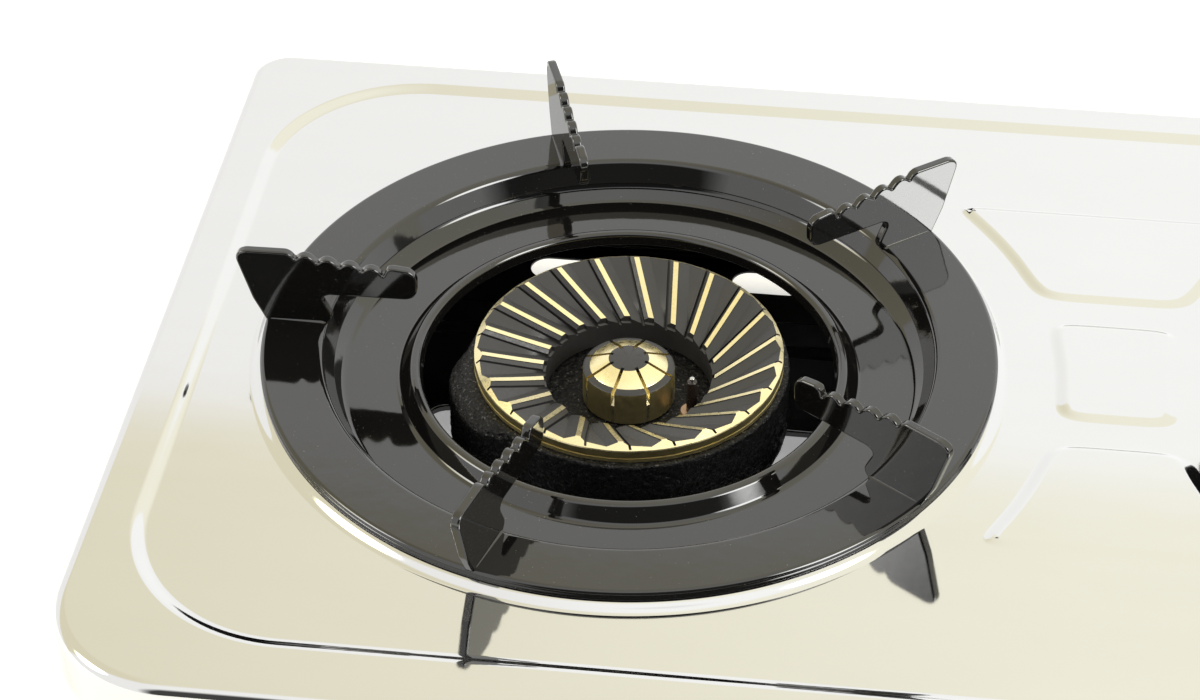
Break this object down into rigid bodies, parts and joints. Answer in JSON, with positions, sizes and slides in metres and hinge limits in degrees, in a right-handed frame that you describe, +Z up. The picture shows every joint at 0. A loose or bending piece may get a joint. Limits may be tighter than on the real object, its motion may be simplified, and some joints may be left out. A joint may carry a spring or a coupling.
{
  "type": "two-burner gas stove",
  "caption": "Table-top gas stove with a pressed steel top, lift-off trivets and drip pans, brass burner caps, turning valves and spark ignition.",
  "frame": {"origin": "on the table, under the middle of the stove's bounding box", "axes": "+X to the right along the front, +Y from the knobs to the back, +Z up"},
  "size_m": [0.7148, 0.4192, 0.1376],
  "materials": {
    "stainless": "polished",
    "enamel": "gloss vitreous enamel",
    "cast_iron": "rough heat-proof paint",
    "brass": "turned, part painted",
    "zinc_steel": "zinc plated",
    "valve_alloy": "die cast",
    "dark_steel": "heat darkened",
    "ceramic": "glazed ceramic",
    "lead_sleeve": "matte silicone",
    "spark_plastic": "moulded",
    "knob_plastic": "satin phenolic",
    "chrome": "bright",
    "rubber": "matte",
    "aluminium": "drawn"
  },
  "bodies": {
    "stove": {"top_plate": "stainless", "front_panel": "stainless", "side_panel_left": "stainless", "side_panel_right": "stainless", "back_panel": "zinc_steel", "base_pan": "enamel", "gas_manifold": "aluminium", "pipe_stands": "zinc_steel", "hose_nipple": "brass", "foot_front_left": "rubber", "foot_front_right": "rubber", "foot_back_left": "rubber", "foot_back_right": "rubber", "case_screws": "zinc_steel", "foot_screws": "zinc_steel", "burner_body_left": "cast_iron", "burner_body_right": "cast_iron", "burner_bracket_left": "zinc_steel", "burner_bracket_right": "zinc_steel", "bracket_screws_left": "zinc_steel", "bracket_screws_right": "zinc_steel", "spark_pin_left": "dark_steel", "spark_pin_right": "dark_steel", "spark_ceramic_left": "ceramic", "spark_ceramic_right": "ceramic", "spark_lead_left": "lead_sleeve", "spark_lead_right": "lead_sleeve", "piezo_unit_left": "spark_plastic", "piezo_unit_right": "spark_plastic", "valve_body_left": "valve_alloy", "valve_body_right": "valve_alloy", "gas_jets_left": "brass", "gas_jets_right": "brass", "return_spring_left": "zinc_steel", "return_spring_right": "zinc_steel", "knob_bezel_left": "chrome", "knob_bezel_right": "chrome"},
    "pan_left": {"drip_pan_left": "enamel"},
    "trivet_left": {"trivet_ring_left": "enamel", "trivet_prongs_left": "enamel"},
    "outer_burner_cap_left": {"outer_cap_left": "brass"},
    "inner_burner_cap_left": {"inner_cap_left": "brass"},
    "plug_left": {"valve_plug_left": "brass"},
    "control_left": {"spindle_left": "zinc_steel", "knob_left": "knob_plastic"},
    "main_shutter_left": {"main_air_shutter_left": "zinc_steel"},
    "inner_shutter_left": {"inner_air_shutter_left": "zinc_steel"},
    "pan_right": {"drip_pan_right": "enamel"},
    "trivet_right": {"trivet_ring_right": "enamel", "trivet_prongs_right": "enamel"},
    "outer_burner_cap_right": {"outer_cap_right": "brass"},
    "inner_burner_cap_right": {"inner_cap_right": "brass"},
    "plug_right": {"valve_plug_right": "brass"},
    "control_right": {"spindle_right": "zinc_steel", "knob_right": "knob_plastic"},
    "main_shutter_right": {"main_air_shutter_right": "zinc_steel"},
    "inner_shutter_right": {"inner_air_shutter_right": "zinc_steel"}
  },
  "joints": [
    {"name": "drip_pan_left_lift", "type": "slide", "parent": "stove", "child": "pan_left", "axis": [0, 0, 1], "range_m": [0, 0.06]},
    {"name": "trivet_left_lift", "type": "slide", "parent": "pan_left", "child": "trivet_left", "axis": [0, 0, 1], "range_m": [0, 0.06]},
    {"name": "outer_cap_left_lift", "type": "slide", "parent": "stove", "child": "outer_burner_cap_left", "axis": [0, 0, 1], "range_m": [0, 0.065]},
    {"name": "inner_cap_left_lift", "type": "slide", "parent": "stove", "child": "inner_burner_cap_left", "axis": [0, 0, 1], "range_m": [0, 0.065]},
    {"name": "knob_left_turn", "type": "hinge", "parent": "stove", "child": "plug_left", "pos_m": [-0.178, -0.15535, 0.057], "axis": [0, -1, 0], "range_deg": [0, 180]},
    {"name": "knob_left_push", "type": "slide", "parent": "plug_left", "child": "control_left", "axis": [0, 1, 0], "range_m": [0, 0.003], "stiffness_N_per_m": 600, "springref_m": -0.005, "deforming": ["return_spring_left"]},
    {"name": "main_shutter_left_turn", "type": "hinge", "parent": "stove", "child": "main_shutter_left", "pos_m": [-0.158, -0.11635, 0.057], "axis": [0, -1, 0], "range_deg": [0, 60]},
    {"name": "inner_shutter_left_turn", "type": "hinge", "parent": "stove", "child": "inner_shutter_left", "pos_m": [-0.198, -0.11635, 0.057], "axis": [0, -1, 0], "range_deg": [0, 60]},
    {"name": "drip_pan_right_lift", "type": "slide", "parent": "stove", "child": "pan_right", "axis": [0, 0, 1], "range_m": [0, 0.06]},
    {"name": "trivet_right_lift", "type": "slide", "parent": "pan_right", "child": "trivet_right", "axis": [0, 0, 1], "range_m": [0, 0.06]},
    {"name": "outer_cap_right_lift", "type": "slide", "parent": "stove", "child": "outer_burner_cap_right", "axis": [0, 0, 1], "range_m": [0, 0.065]},
    {"name": "inner_cap_right_lift", "type": "slide", "parent": "stove", "child": "inner_burner_cap_right", "axis": [0, 0, 1], "range_m": [0, 0.065]},
    {"name": "knob_right_turn", "type": "hinge", "parent": "stove", "child": "plug_right", "pos_m": [0.178, -0.15535, 0.057], "axis": [0, -1, 0], "range_deg": [0, 180]},
    {"name": "knob_right_push", "type": "slide", "parent": "plug_right", "child": "control_right", "axis": [0, 1, 0], "range_m": [0, 0.003], "stiffness_N_per_m": 600, "springref_m": -0.005, "deforming": ["return_spring_right"]},
    {"name": "main_shutter_right_turn", "type": "hinge", "parent": "stove", "child": "main_shutter_right", "pos_m": [0.198, -0.11635, 0.057], "axis": [0, -1, 0], "range_deg": [0, 60]},
    {"name": "inner_shutter_right_turn", "type": "hinge", "parent": "stove", "child": "inner_shutter_right", "pos_m": [0.158, -0.11635, 0.057], "axis": [0, -1, 0], "range_deg": [0, 60]}
  ]
}
